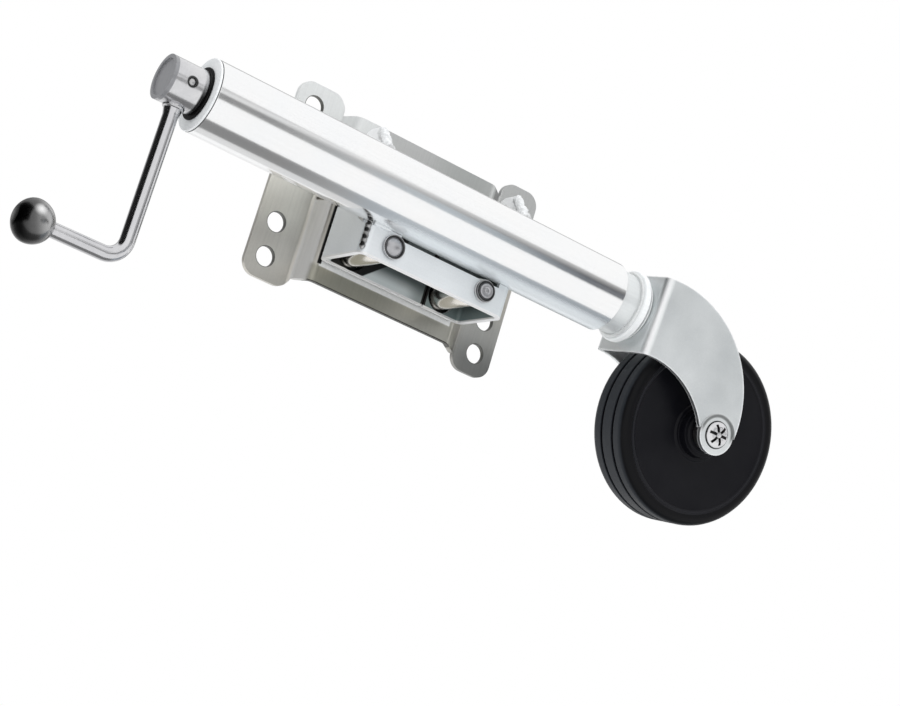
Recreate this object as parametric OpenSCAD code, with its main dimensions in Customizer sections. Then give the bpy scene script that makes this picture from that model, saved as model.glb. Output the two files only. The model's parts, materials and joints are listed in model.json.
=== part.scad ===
// Fold-up trailer jack: a pressed bracket bolts to the side of a trailer tongue and carries a swinging
// tube, whose crank, screw and sliding leg lower a caster wheel.
// The jack is drawn folded up, with its tube level along the tongue. Sizes are in mm and +Z is up.
// +X runs along the tube toward the wheel and +Y points to the tongue. The origin is the middle of the
// bolt pattern, on the faces that bear on the tongue.

/* [Mounting bracket] */
// Thickness of the bracket's plate
plate_t = 4; // [3:0.5:5]
// Distance between the left and right bolt holes
hole_span_x = 203.2; // [196:0.1:215]
// Height between the outer rows of bolt holes
outer_span_z = 127; // [115:0.1:140]
// Height between the inner rows of bolt holes
inner_span_z = 69.9; // [60:0.1:80]
// Diameter of a bolt hole
bolt_hole_d = 15.9; // [12:0.1:18]
// From a bolt hole's centre to the outer edge of its ear
ear_edge = 16.5; // [13:0.5:22]
// From an outer bolt hole's centre to the end of its ear
ear_end = 18; // [14:0.5:26]
// Corner radius of an ear
ear_corner_r = 12; // [6:0.5:18]
// From the bracket's middle to the crank-side ear, where the raised channel starts
channel_crank = 76; // [74:0.5:78]
// From the bracket's middle to the wheel-side ear, where the raised channel ends
channel_wheel = 81.5; // [79:0.5:83]
// From the bracket's middle to the crank-side edge of the channel's panel
panel_crank = 70; // [68:0.5:71]
// From the bracket's middle to the wheel-side edge of the channel's panel
panel_wheel = 63.5; // [62:0.5:68]
// From the origin up to the top edge of the channel's panel
panel_top = 66.5; // [60:0.5:69]
// From the origin down to the bottom edge of the channel's panel
panel_bottom = 71; // [60:0.5:75]
// From the tongue to the front of the channel's panel
panel_depth = 22; // [20:0.5:26]
// Inside radius of the bracket's bends
bracket_bend_r = 5; // [3:0.5:6]

/* [Swinging tube] */
// Outside diameter of the tube
tube_d = 57.15; // [54:0.05:60]
// Wall of the tube
tube_wall = 2; // [1.5:0.1:2.5]
// Length of the tube
tube_len = 378; // [350:1:420]
// From the tongue to the tube's axis
tube_stand = 88; // [84:0.5:100]
// From the bracket's middle back to the tube's middle, toward the crank
tube_shift = 38; // [30:1:50]

/* [Carrier and pins] */
// Width over the carrier's two end walls
carrier_w = 136; // [130:0.5:144]
// From the bracket's middle back to the carrier's middle, toward the crank
carrier_shift = 1; // [0:0.5:3]
// Thickness of the carrier's plate
carrier_t = 4; // [3:0.5:5]
// From the tube's axis down to the carrier's lower edge
carrier_drop = 54; // [53.5:0.5:60]
// Height of the carrier's back above the tube's axis
back_rise = 22; // [10:0.5:26]
// Height of the end walls' tops above the tube's axis
wall_rise = 52; // [46:0.5:54]
// From the tongue to the back edge of the end walls' tops
wall_back = 38; // [34:0.5:44]
// Length of the end walls' tops, from their back edge to where they slope down to the tube
wall_top_w = 23; // [18:0.5:30]
// Corner radius of the end walls' tops
wall_top_r = 9; // [4:0.5:12]
// Inside radius of the carrier's bends
carrier_bend_r = 3; // [2:0.5:4]
// Gap between the carrier's back and the panel
back_gap = 3; // [1:0.5:5]
// From the bracket's middle to the seam in the carrier's back, toward the wheel
seam_x = 28; // [20:0.5:28]
// Width of the seam in the carrier's back
seam_w = 1; // [0.5:0.1:2]
// Room round each sleeve in the carrier's back
sleeve_room = 2.5; // [1:0.1:2.8]
// Height of the slot between the carrier's front and the tube
slot_h = 4; // [2:0.5:6]
// Length of the carrier's front that meets the tube beside the lock pin
seam_lock = 30; // [20:0.5:34]
// Length of the carrier's front that meets the tube beside the pivot
seam_pivot = 12; // [8:0.5:20]
// Distance between the pivot pin and the lock pin
pin_span = 86.4; // [80:0.1:90]
// From the tube's axis down to the two pins
pin_drop = 40; // [39.5:0.1:41]
// Diameter of the pivot pin
pivot_d = 13; // [11:0.1:15]
// Outside diameter of the two sleeves
sleeve_d = 20.6; // [20:0.1:21]
// Diameter of the pivot's heads and washer
pivot_head_d = 18; // [16:0.5:20]
// Thickness of the pivot's washer
pivot_washer_t = 1.6; // [1:0.1:2.5]
// Height of the pivot's two riveted heads
pivot_head_h = 3; // [2:0.1:5]
// Diameter of the lock pin
lock_d = 12; // [10:0.1:12.6]
// Diameter of the lock pin's domed head
lock_head_d = 19; // [17:0.5:24]
// Height of the lock pin's domed head
lock_head_h = 6; // [4:0.5:9]
// How far the lock pin reaches past the panel
lock_reach = 3; // [1:0.5:5]
// Wire diameter of the lock spring
wire_d = 1.2; // [0.8:0.1:1.3]
// Turns of the lock spring
spring_turns = 10; // [6:1:12]
// Thickness of the spring's seat on the lock pin
seat_t = 2.4; // [1.5:0.1:4]
// Thickness of the lock sleeve's closed end
sleeve_end_t = 3; // [2:0.5:4]

/* [Crank and screw] */
// Thickness of the cap's flange on the end of the tube
cap_t = 2; // [1.5:0.1:4]
// Length of the cap inside the tube
cap_plug = 8; // [5:0.5:12]
// Diameter of the dark washer under the hub
seal_d = 43; // [38:0.5:50]
// Thickness of the dark washer under the hub
seal_t = 2; // [1:0.1:4]
// Diameter of the crank's hub
hub_d = 35; // [32:0.5:40]
// Length of the crank's hub
hub_len = 28; // [25:0.5:34]
// Diameter of the recess in the hub's end
hub_recess_d = 29; // [24:0.5:30]
// Depth of the recess in the hub's end
hub_recess = 1.5; // [0.5:0.1:2]
// Thickness left at the hub's closed end
hub_end_t = 5; // [4:0.5:7]
// Diameter of the pin through the hub
hub_pin_d = 6; // [3:0.1:7]
// From the hub's inner end to the crank arm
arm_place = 13.4; // [8:0.1:15]
// From the screw's end in the hub to the hub's pin
pin_place = 10.5; // [4.5:0.1:13]
// Diameter of the crank's bent rod
rod_d = 11.5; // [8:0.1:13]
// From the tube's axis to the crank's handle
crank_throw = 135.5; // [110:0.5:150]
// From the crank arm to the middle of the knob
handle_reach = 69; // [55:0.5:90]
// Radius of the bend between arm and handle
rod_bend_r = 15; // [12:0.5:20]
// Diameter of the knob
knob_d = 32.5; // [28:0.5:40]
// Diameter of the flat on the knob's outer end
knob_flat_d = 12; // [8:0.5:16]
// Diameter of the screw's journal in the cap and the hub
journal_d = 16; // [13:0.1:17]
// Diameter of the lead screw
screw_d = 19; // [18:0.1:22]
// Thickness of the thrust bearing under the cap
bearing_t = 5; // [3:0.5:8]
// Diameter of the thrust bearing under the cap
bearing_d = 40; // [30:0.5:48]

/* [Leg] */
// Outside diameter of the sliding leg
leg_d = 50.8; // [48:0.1:51]
// Wall of the sliding leg
leg_wall = 2.3; // [1.8:0.1:3]
// Travel of the sliding leg
leg_travel = 254; // [200:1:260]
// Length of the leg that shows below the tube
leg_show = 18; // [10:0.5:30]
// Space between the thrust bearing and the nut when the leg is in
nut_space = 6; // [2:0.5:12]
// Thickness of the nut's flange
nut_flange_t = 3; // [2:0.5:6]
// Length of the nut inside the leg
nut_len = 18; // [12:0.5:30]
// Length of the guide bush in the tube's lower end
guide_len = 24; // [14:0.5:40]
// Thickness of the plug in the leg's lower end
plug_t = 12; // [8:0.5:20]

/* [Caster] */
// Turn of the fork about the tube's axis in the drawn pose
swivel_rest = 7; // [-20:1:20]
// Diameter of the flange on the leg's lower end
flange_d = 60; // [56:0.5:62]
// Thickness of the flange on the leg's lower end
flange_t = 6; // [4:0.5:8]
// Diameter of the swivel bearing
swivel_d = 52; // [44:0.5:56]
// Thickness of the swivel bearing
swivel_t = 5.5; // [3:0.5:8]
// Diameter of the kingpin
kingpin_d = 16; // [12:0.1:20]
// Diameter of the kingpin's head
kingpin_head_d = 26; // [22:0.5:30]
// Height of the kingpin's head
kingpin_head_h = 5; // [3:0.5:6]
// Thickness of the fork's plate
fork_t = 4; // [3:0.5:5]
// Half the fork's width at its crown
crown_half = 34; // [33:0.5:37]
// Height of the fork's crown above the tube's axis
crown_rise = 30; // [28:0.5:33]
// Depth of the fork's crown below the tube's axis
crown_drop = 34; // [31:0.5:37]
// How far the centre of the fork's outer curve lies above the axle
crown_slope = 8; // [4:0.5:14]
// Radius of the fork's inner curve over the wheel
hollow_r = 70; // [66:0.5:76]
// Half the fork's width at the axle
pad_half = 44; // [42:0.5:50]
// Bend radius where the fork's crown turns into its arms
fork_bend_r = 8; // [6:0.5:10]
// Radius of the fork's end round the axle
pad_r = 16.5; // [15:0.5:19]
// From the tube's lower end to the axle, along the tube
axle_drop = 116; // [113:0.5:122]
// From the tube's axis down to the axle
trail = 70; // [66:0.5:72]
// Diameter of the axle
axle_d = 12.7; // [10:0.1:14]
// Diameter of the caps that hold the axle
axle_cap_d = 21; // [18:0.5:26]
// Height of the caps that hold the axle
axle_cap_h = 3.5; // [2:0.1:5]
// Outside diameter of the wheel's bush
bush_d = 19; // [16:0.1:21]
// Outside diameter of the spacers beside the wheel
spacer_d = 27; // [24:0.5:32]
// Diameter of the wheel
wheel_d = 152.4; // [146:0.1:154]
// Width of the wheel's tread
wheel_w = 44; // [40:0.5:50]
// Width over the wheel's hub
wheel_hub_w = 60; // [54:0.5:68]
// Diameter of the wheel's hub
wheel_hub_d = 40; // [34:0.5:46]
// Diameter of the ring on the wheel's side
side_ring_d = 130; // [120:0.5:136]
// Depth of the dish inside the ring on the wheel's side
side_dish = 1.5; // [0.5:0.1:3]
// Rounding of the tread's edges
shoulder_r = 7; // [4:0.5:9]
// Width of each groove in the tread
groove_w = 3; // [2:0.1:5]
// Depth of each groove in the tread
groove_deep = 3; // [1:0.1:5]
// Width of the tread's middle band
band_w = 15; // [12:0.5:20]

/* [Hidden] */
$fn = 72;
// running clearance of a shaft in its bore, on the radius
run = 0.05;
// play between faces that turn or slide past each other
play = 0.3;
// room left for a weld between the tube and the carrier
weld_gap = 0.2;
// how far a cutting shape runs past what it cuts
over = 1;
// straight steps in each bend of a plate
bend_steps = 8;

// bracket
ear_x = hole_span_x / 2 + ear_edge;
ear_z = outer_span_z / 2 + ear_end;
panel_back = panel_depth - plate_t;

// tube, cap and crank, along X
tube_r = tube_d / 2;
tube_id = tube_d - 2 * tube_wall;
tube_x0 = -tube_shift - tube_len / 2;
tube_x1 = -tube_shift + tube_len / 2;
cap_x = tube_x0 - cap_t;
hub_x1 = cap_x - seal_t - play;
hub_x0 = hub_x1 - hub_len;
arm_x = hub_x1 - arm_place;
screw_x0 = hub_x0 + hub_end_t + run;
hub_pin_x = screw_x0 + pin_place;
knob_x = arm_x - handle_reach;

// carrier and pins
front_y = -tube_stand;
carrier_back = panel_depth + back_gap;
carrier_inside = carrier_back + carrier_t;
sleeve_y0 = front_y + carrier_t;
sleeve_y1 = -panel_depth - play;
sleeve_len = sleeve_y1 - sleeve_y0;
sleeve_wall = 2;
sleeve_bore = sleeve_d - 2 * sleeve_wall;
seat_y1 = sleeve_y1 - sleeve_end_t - play;
seat_y0 = seat_y1 - seat_t;
spring_r = (lock_d + sleeve_bore) / 4;

// screw and leg
thrust_x = tube_x0 + cap_plug;
thread_x = thrust_x + bearing_t + play;
nut_x0 = thread_x + nut_space;
leg_x0 = nut_x0 + nut_flange_t;
leg_x1 = tube_x1 + leg_show;
leg_id = leg_d - 2 * leg_wall;
screw_x1 = leg_x0 + nut_len + leg_travel + play;

// caster
swivel_x = leg_x1 + flange_t;
crown_x = swivel_x + swivel_t + play;
axle_x = tube_x1 + axle_drop;
pad_in = pad_half - fork_t;
wheel_r = wheel_d / 2;

// a bent plate's profile: the path is one face, and the other face lies t to the left of it
function unit(v) = v / norm(v);
function left_of(a, b) = let (u = unit(b - a)) [-u.y, u.x];
function turned(v, a) = [v.x * cos(a) - v.y * sin(a), v.x * sin(a) + v.y * cos(a)];
function shifted(p, d) = [
    for (i = [0 : len(p) - 1])
        let (last = len(p) - 1,
             n0 = left_of(p[max(i - 1, 0)], p[max(i, 1)]),
             n1 = left_of(p[min(i, last - 1)], p[min(i + 1, last)]))
        p[i] + d * (n0 + n1) / (1 + n0 * n1)
];
function corner(a, b, c, r) =
    let (u = unit(a - b),
         v = unit(c - b),
         half = acos(u * v) / 2,
         middle = b + unit(u + v) * r / sin(half),
         start = b + u * r / tan(half) - middle,
         sweep = sign(cross(b - a, c - b)) * (180 - 2 * half))
    [for (k = [0 : bend_steps]) middle + turned(start, sweep * k / bend_steps)];
function eased(p, r_left, r_right) = concat(
    [p[0]],
    [for (i = [1 : len(p) - 2])
        each corner(p[i - 1], p[i], p[i + 1],
                    cross(p[i] - p[i - 1], p[i + 1] - p[i]) > 0 ? r_left : r_right)],
    [p[len(p) - 1]]);
function backward(p) = [for (i = [len(p) - 1 : -1 : 0]) p[i]];
function plate(p, t, r) = concat(eased(p, r + t, r), backward(eased(shifted(p, t), r, r + t)));

// a round bar or a ring along X on the tube's axis
module bar_x(x0, x1, d) {
    translate([x0, front_y, 0]) rotate([0, 90, 0]) cylinder(d = d, h = x1 - x0);
}
module ring_x(x0, x1, d, bore) {
    difference() {
        bar_x(x0, x1, d);
        bar_x(x0 - over, x1 + over, bore);
    }
}
// a round bar along Y
module bar_y(x, z, y0, y1, d) {
    translate([x, y1, z]) rotate([90, 0, 0]) cylinder(d = d, h = y1 - y0);
}
// children drawn upright on the origin stand out toward -Y from the given point
module facing_out(x, y, z) {
    translate([x, y, z]) rotate([90, 0, 0]) children();
}
// children drawn with the tube's axis along X through the origin, turned as the fork hangs
module on_fork() {
    translate([0, front_y, 0]) rotate([swivel_rest, 0, 0]) children();
}
// a bar along the axle, centred on the fork
module axle_bar(d, half) {
    translate([axle_x, half, -trail]) rotate([90, 0, 0]) cylinder(d = d, h = 2 * half);
}
module at_pivot(y) {
    facing_out(pin_span / 2, y, -pin_drop) children();
}
module at_lock(y) {
    facing_out(-pin_span / 2, y, -pin_drop) children();
}
module rounded_box_2d(x0, x1, z0, z1, r) {
    translate([x0 + r, z0]) square([x1 - x0 - 2 * r, z1 - z0]);
    translate([x0, z0 + r]) square([x1 - x0, z1 - z0 - 2 * r]);
    for (x = [x0 + r, x1 - r], z = [z0 + r, z1 - r]) translate([x, z]) circle(r = r);
}

// the curved slot that the lock pin's end follows, a quarter turn about the pivot
module lock_slot_2d() {
    slot_d = lock_d + 2 * play;
    translate([pin_span / 2, -pin_drop]) {
        intersection() {
            difference() {
                circle(r = pin_span + slot_d / 2);
                circle(r = pin_span - slot_d / 2);
            }
            translate([-pin_span - slot_d, 0]) square(pin_span + slot_d);
        }
        translate([-pin_span, 0]) circle(d = slot_d);
        translate([0, pin_span]) circle(d = slot_d);
    }
}

// hat-shaped plate: two ears on the tongue and a raised channel between them
module mounting_bracket() {
    path = [[-ear_x, -plate_t], [-channel_crank, -plate_t], [-panel_crank, -panel_depth],
            [panel_wheel, -panel_depth], [channel_wheel, -plate_t], [ear_x, -plate_t]];
    color("lightgray") difference() {
        intersection() {
            translate([0, 0, -ear_z - over])
                linear_extrude(2 * ear_z + 2 * over) polygon(plate(path, plate_t, bracket_bend_r));
            translate([0, over, 0]) rotate([90, 0, 0]) linear_extrude(panel_depth + 2 * over) {
                translate([-hole_span_x / 2, -panel_bottom]) square([hole_span_x, panel_bottom + panel_top]);
                rounded_box_2d(-ear_x, -channel_crank, -ear_z, ear_z, ear_corner_r);
                rounded_box_2d(channel_wheel, ear_x, -ear_z, ear_z, ear_corner_r);
            }
        }
        for (x = [-1, 1], span = [inner_span_z, outer_span_z], s = [-1, 1])
            bar_y(x * hole_span_x / 2, s * span / 2, -plate_t - over, over, bolt_hole_d);
        bar_y(pin_span / 2, -pin_drop, -panel_depth - over, -panel_back + over, pivot_d + 2 * run);
        translate([0, -panel_back + over, 0]) rotate([90, 0, 0])
            linear_extrude(plate_t + 2 * over) lock_slot_2d();
    }
}

// riveted pin that the carrier swings on, fast in the panel
module pivot_pin() {
    reach = tube_stand - panel_back + play + pivot_washer_t;
    color("silver") at_pivot(-panel_back) {
        translate([0, 0, -pivot_head_h]) cylinder(d = pivot_head_d, h = pivot_head_h);
        translate([0, 0, -over]) cylinder(d = pivot_d, h = reach + 2 * over);
        translate([0, 0, reach]) cylinder(d1 = pivot_head_d - 2, d2 = pivot_d, h = pivot_head_h);
    }
}

module pivot_washer() {
    color("gainsboro") at_pivot(front_y - play) difference() {
        cylinder(d = pivot_head_d, h = pivot_washer_t);
        translate([0, 0, -over]) cylinder(d = pivot_d + 2 * run, h = pivot_washer_t + 2 * over);
    }
}

// side view of an end wall's top, which hooks over the back of the tube as far as its crown
module wall_top_2d() {
    path = [[front_y, tube_r], [-wall_back - wall_top_w, wall_rise], [-wall_back, wall_rise], [-wall_back, 0]];
    polygon(eased(path, wall_top_r, wall_top_r));
}

// plate bent into a box under the tube: a front with both pin holes, two end walls that cradle the tube,
// and a back whose ends meet in a seam
module swing_carrier() {
    end_x0 = -carrier_shift - carrier_w / 2;
    end_x1 = -carrier_shift + carrier_w / 2;
    in_x0 = end_x0 + carrier_t;
    in_x1 = end_x1 - carrier_t;
    path = [[seam_x - seam_w / 2, -carrier_inside], [in_x0, -carrier_inside], [in_x0, sleeve_y0],
            [in_x1, sleeve_y0], [in_x1, -carrier_inside], [seam_x + seam_w / 2, -carrier_inside]];
    slot_x0 = end_x0 + seam_lock;
    slot_x1 = end_x1 - seam_pivot;
    color("whitesmoke") difference() {
        union() {
            translate([0, 0, -carrier_drop])
                linear_extrude(carrier_drop + back_rise)
                    polygon(plate(backward(path), carrier_t, carrier_bend_r));
            for (x = [end_x0, in_x1])
                translate([x, 0, 0]) rotate([90, 0, 90]) linear_extrude(carrier_t) wall_top_2d();
        }
        bar_x(-carrier_w, carrier_w, tube_d + 2 * weld_gap);
        translate([slot_x0, front_y - over, -tube_r - slot_h])
            cube([slot_x1 - slot_x0, carrier_t + 2 * over, slot_h + over]);
        bar_y(pin_span / 2, -pin_drop, front_y - over, sleeve_y0 + over, pivot_d + 2 * run);
        bar_y(-pin_span / 2, -pin_drop, front_y - over, sleeve_y0 + over, lock_d + 2 * run);
        for (x = [-1, 1])
            bar_y(x * pin_span / 2, -pin_drop, -carrier_inside - over, -carrier_back + over,
                  sleeve_d + 2 * sleeve_room);
    }
}

module pivot_sleeve() {
    color("wheat") at_pivot(sleeve_y1) difference() {
        cylinder(d = sleeve_d, h = sleeve_len);
        translate([0, 0, -over]) cylinder(d = pivot_d + 2 * run, h = sleeve_len + 2 * over);
    }
}

module lock_sleeve() {
    color("wheat") at_lock(sleeve_y1) difference() {
        cylinder(d = sleeve_d, h = sleeve_len);
        translate([0, 0, sleeve_end_t]) cylinder(d = sleeve_bore, h = sleeve_len);
        translate([0, 0, -over]) cylinder(d = lock_d + 2 * run, h = sleeve_end_t + 2 * over);
    }
}

module lock_pin() {
    tip = -panel_back + lock_reach;
    dome_r = (lock_head_h * lock_head_h + lock_head_d * lock_head_d / 4) / (2 * lock_head_h);
    color("silver") {
        at_lock(tip) cylinder(d = lock_d, h = tip - front_y + over);
        at_lock(front_y - play) intersection() {
            cylinder(d = lock_head_d, h = lock_head_h);
            translate([0, 0, lock_head_h - dome_r]) sphere(r = dome_r);
        }
    }
}

module spring_seat() {
    color("gray") at_lock(seat_y1) difference() {
        cylinder(d = sleeve_bore - 2 * play, h = seat_t);
        translate([0, 0, -over]) cylinder(d = lock_d + 2 * run, h = seat_t + 2 * over);
    }
}

// one unbroken wire: rings of points along a helix, joined by triangles
wire_sides = 6;
turn_rings = 8;
ring_count = spring_turns * turn_rings + 1;
spring_span = seat_y0 - sleeve_y0 - 2 * play - wire_d;
function wire_at(i) =
    let (a = 360 * i / turn_rings)
    [spring_r * cos(a), spring_r * sin(a), spring_span * i / (ring_count - 1)];
function wire_ring(i) =
    let (a = 360 * i / turn_rings)
    [for (k = [0 : wire_sides - 1])
        let (b = 360 * k / wire_sides, out = spring_r + cos(b) * wire_d / 2)
        [out * cos(a), out * sin(a), wire_at(i).z + sin(b) * wire_d / 2]];
function ring_faces(i) = [
    for (k = [0 : wire_sides - 1])
        let (n = (k + 1) % wire_sides, lo = i * wire_sides, hi = lo + wire_sides)
        each [[lo + k, hi + n, lo + n], [lo + k, hi + k, hi + n]]];
function end_faces(i, up) = [
    for (k = [1 : wire_sides - 2])
        let (o = i * wire_sides)
        up ? [o, o + k + 1, o + k] : [o, o + k, o + k + 1]];
wire_gap = min([for (i = [0 : ring_count - 1 - turn_rings / 2], j = [i + turn_rings / 2 : ring_count - 1])
    norm(wire_at(j) - wire_at(i))]) - wire_d;
echo(lock_spring_least_gap = wire_gap);

module lock_spring() {
    points = [for (i = [0 : ring_count - 1]) each wire_ring(i)];
    faces = concat(end_faces(0, false),
                   [for (i = [0 : ring_count - 2]) each ring_faces(i)],
                   end_faces(ring_count - 1, true));
    color("dimgray") at_lock(seat_y0 - play - wire_d / 2) polyhedron(points, faces);
}

module outer_tube() {
    color("white") ring_x(tube_x0, tube_x1, tube_d, tube_id);
}

module tube_cap() {
    color("gainsboro") difference() {
        union() {
            bar_x(cap_x, tube_x0, tube_d);
            bar_x(tube_x0, thrust_x, tube_id - 2 * run);
        }
        bar_x(cap_x - over, thrust_x + over, journal_d + 2 * run);
    }
}

module hub_seal() {
    color("black") ring_x(cap_x - seal_t, cap_x, seal_d, journal_d + 2 * run);
}

module thrust_bearing() {
    color("slategray") ring_x(thrust_x, thrust_x + bearing_t, bearing_d, journal_d + 2 * run);
}

module guide_bush() {
    color("ivory") ring_x(tube_x1 - guide_len, tube_x1, tube_id - 2 * run, leg_d + 2 * run);
}

// the crank's hub: a round cup on the screw's end, with the rod let into its side
module crank_hub() {
    color("silver") difference() {
        bar_x(hub_x0, hub_x1, hub_d);
        bar_x(hub_x0 - over, hub_x0 + hub_recess, hub_recess_d);
        bar_x(hub_x0 + hub_end_t, hub_x1 + over, journal_d + 2 * run);
        bar_y(hub_pin_x, 0, front_y - hub_d, front_y + hub_d, hub_pin_d + 2 * run);
        translate([arm_x, front_y, -hub_d]) cylinder(d = rod_d + 2 * run, h = hub_d);
    }
}

module hub_pin() {
    half = hub_d / 2 - play;
    color("dimgray") bar_y(hub_pin_x, 0, front_y - half, front_y + half, hub_pin_d);
}

// bent rod: an arm out of the hub, a round bend and a handle
module crank_arm() {
    root_z = -journal_d / 2 - 2 * play;
    weld_d = rod_d + 5;
    weld_h = 7;
    bend_z = -crank_throw + rod_bend_r;
    color("whitesmoke") translate([arm_x, front_y, 0]) {
        translate([0, 0, bend_z]) cylinder(d = rod_d, h = root_z - bend_z);
        translate([0, 0, -hub_d / 2 - weld_h]) difference() {
            cylinder(d1 = rod_d, d2 = weld_d, h = weld_h + weld_d / 4);
            translate([0, 0, weld_h + hub_d / 2]) rotate([0, 90, 0])
                cylinder(r = hub_d / 2 + weld_gap, h = 2 * weld_d, center = true);
        }
        translate([-rod_bend_r, 0, bend_z]) rotate([90, 0, 0]) rotate_extrude(angle = -90)
            translate([rod_bend_r, 0]) circle(d = rod_d);
        translate([-rod_bend_r, 0, -crank_throw]) rotate([0, -90, 0])
            cylinder(d = rod_d, h = handle_reach - rod_bend_r);
    }
}

module crank_knob() {
    flat = sqrt(knob_d * knob_d - knob_flat_d * knob_flat_d) / 2;
    color("dimgray") translate([knob_x, front_y, -crank_throw]) rotate([0, 90, 0]) difference() {
        intersection() {
            sphere(d = knob_d);
            translate([0, 0, -flat]) cylinder(d = knob_d + over, h = knob_d);
        }
        translate([0, 0, -run]) cylinder(d = rod_d + 2 * run, h = knob_d);
    }
}

module lead_screw() {
    color("gray") difference() {
        union() {
            bar_x(screw_x0, thread_x + over, journal_d);
            bar_x(thread_x, screw_x1, screw_d);
        }
        bar_y(hub_pin_x, 0, front_y - hub_d, front_y + hub_d, hub_pin_d + 2 * run);
    }
}

module lead_nut() {
    color("goldenrod") difference() {
        union() {
            bar_x(nut_x0, leg_x0, tube_id - 4 * run);
            bar_x(leg_x0, leg_x0 + nut_len, leg_id - 2 * run);
        }
        bar_x(nut_x0 - over, leg_x0 + nut_len + over, screw_d + 2 * run);
    }
}

module inner_tube() {
    color("white") ring_x(leg_x0, leg_x1, leg_d, leg_id);
}

module stem_plug() {
    color("gray") ring_x(leg_x1 - plug_t, leg_x1, leg_id - 2 * run, kingpin_d + 2 * run);
}

module swivel_flange() {
    color("white") ring_x(leg_x1, swivel_x, flange_d, kingpin_d + 2 * run);
}

module swivel_bearing() {
    color("gainsboro") ring_x(swivel_x, swivel_x + swivel_t, swivel_d, kingpin_d + 2 * run);
}

module kingpin() {
    head_x = crown_x + fork_t + play;
    color("silver") {
        bar_x(leg_x1 - plug_t, head_x + over, kingpin_d);
        bar_x(head_x, head_x + kingpin_head_h, kingpin_head_d);
    }
}

// side view of an arm: an arc down from the crown to the round end, hollowed over the wheel
module fork_outline_2d() {
    sweep_r = trail + crown_rise - crown_slope;
    sweep_x = axle_x + pad_r - sweep_r;
    sweep_z = crown_rise - sweep_r;
    hollow_z = -crown_drop - hollow_r;
    hollow_x = axle_x - pad_r - sqrt(pow(hollow_r, 2) - pow(hollow_z + trail, 2));
    difference() {
        union() {
            intersection() {
                translate([sweep_x, sweep_z]) circle(r = sweep_r);
                translate([crown_x, -trail]) square([wheel_d, trail + crown_rise]);
            }
            translate([crown_x, 0]) square([sweep_x - crown_x, crown_rise]);
        }
        translate([hollow_x, hollow_z]) circle(r = hollow_r);
        translate([axle_x, -trail]) circle(r = pad_r - run);
    }
}

// fork: a crown on the swivel and two spreading arms, pressed into flat round ends at the axle
module yoke() {
    spread = (pad_half - crown_half) / (axle_x - crown_x);
    far_x = axle_x + wheel_r;
    far_half = crown_half + spread * (far_x - crown_x);
    path = [[far_x, -far_half], [crown_x, -crown_half], [crown_x, crown_half], [far_x, far_half]];
    color("lightgray") on_fork() difference() {
        union() {
            intersection() {
                translate([0, 0, -wheel_d])
                    linear_extrude(2 * wheel_d) polygon(plate(backward(path), fork_t, fork_bend_r - fork_t));
                translate([0, 2 * pad_half, 0]) rotate([90, 0, 0])
                    linear_extrude(4 * pad_half) fork_outline_2d();
            }
            for (s = [0, 1]) mirror([0, s, 0]) translate([axle_x, -pad_in, -trail]) rotate([90, 0, 0])
                cylinder(r = pad_r, h = fork_t);
        }
        translate([crown_x - over, 0, 0]) rotate([0, 90, 0])
            cylinder(d = kingpin_d + 2 * run, h = fork_t + 2 * over);
        axle_bar(axle_d + 2 * run, 2 * pad_half);
    }
}

module axle_rod() {
    color("silver") on_fork() axle_bar(axle_d, pad_half + axle_cap_h / 2);
}

// a domed cap pressed on each end of the axle
module axle_caps() {
    color("silver") on_fork() for (s = [0, 1])
        translate([axle_x, 0, -trail]) mirror([0, s, 0]) translate([0, -pad_half, 0]) rotate([90, 0, 0])
            difference() {
                cylinder(d1 = axle_cap_d, d2 = axle_cap_d - 5, h = axle_cap_h);
                translate([0, 0, -over]) cylinder(d = axle_d + 2 * run, h = axle_cap_h / 2 + over + run);
            }
}

module wheel_bush() {
    color("gainsboro") on_fork() difference() {
        axle_bar(bush_d, pad_in - play / 2);
        axle_bar(axle_d + 2 * run, pad_in + over);
    }
}

module axle_spacers() {
    width = pad_in - wheel_hub_w / 2 - play - play / 2;
    color("gray") on_fork() for (s = [0, 1])
        translate([axle_x, 0, -trail]) mirror([0, s, 0]) translate([0, -wheel_hub_w / 2 - play, 0])
            rotate([90, 0, 0]) difference() {
                cylinder(d = spacer_d, h = width);
                translate([0, 0, -over]) cylinder(d = bush_d + 2 * run, h = width + 2 * over);
            }
}

// solid wheel with two grooves round its tread, a dished side and a hub
module wheel() {
    half = wheel_w / 2;
    ring_r = side_ring_d / 2;
    dish = half - side_dish;
    color("black") on_fork() translate([axle_x, 0, -trail]) rotate([90, 0, 0]) difference() {
        union() {
            rotate_extrude() difference() {
                union() {
                    translate([0, -half]) square([wheel_r - shoulder_r, wheel_w]);
                    translate([0, -half + shoulder_r]) square([wheel_r, wheel_w - 2 * shoulder_r]);
                    for (s = [-1, 1]) translate([wheel_r - shoulder_r, s * (half - shoulder_r)])
                        circle(r = shoulder_r);
                }
                for (s = [-1, 1]) {
                    translate([wheel_r - groove_deep, s * band_w / 2 - groove_w / 2])
                        square([2 * groove_deep, groove_w]);
                    translate([0, s > 0 ? dish : -dish - 2 * side_dish]) square([ring_r, 2 * side_dish]);
                }
                translate([-wheel_d, -wheel_w]) square([wheel_d, 2 * wheel_w]);
            }
            cylinder(d = wheel_hub_d, h = wheel_hub_w, center = true);
        }
        cylinder(d = bush_d + 2 * run, h = 2 * wheel_hub_w, center = true);
    }
}

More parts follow.
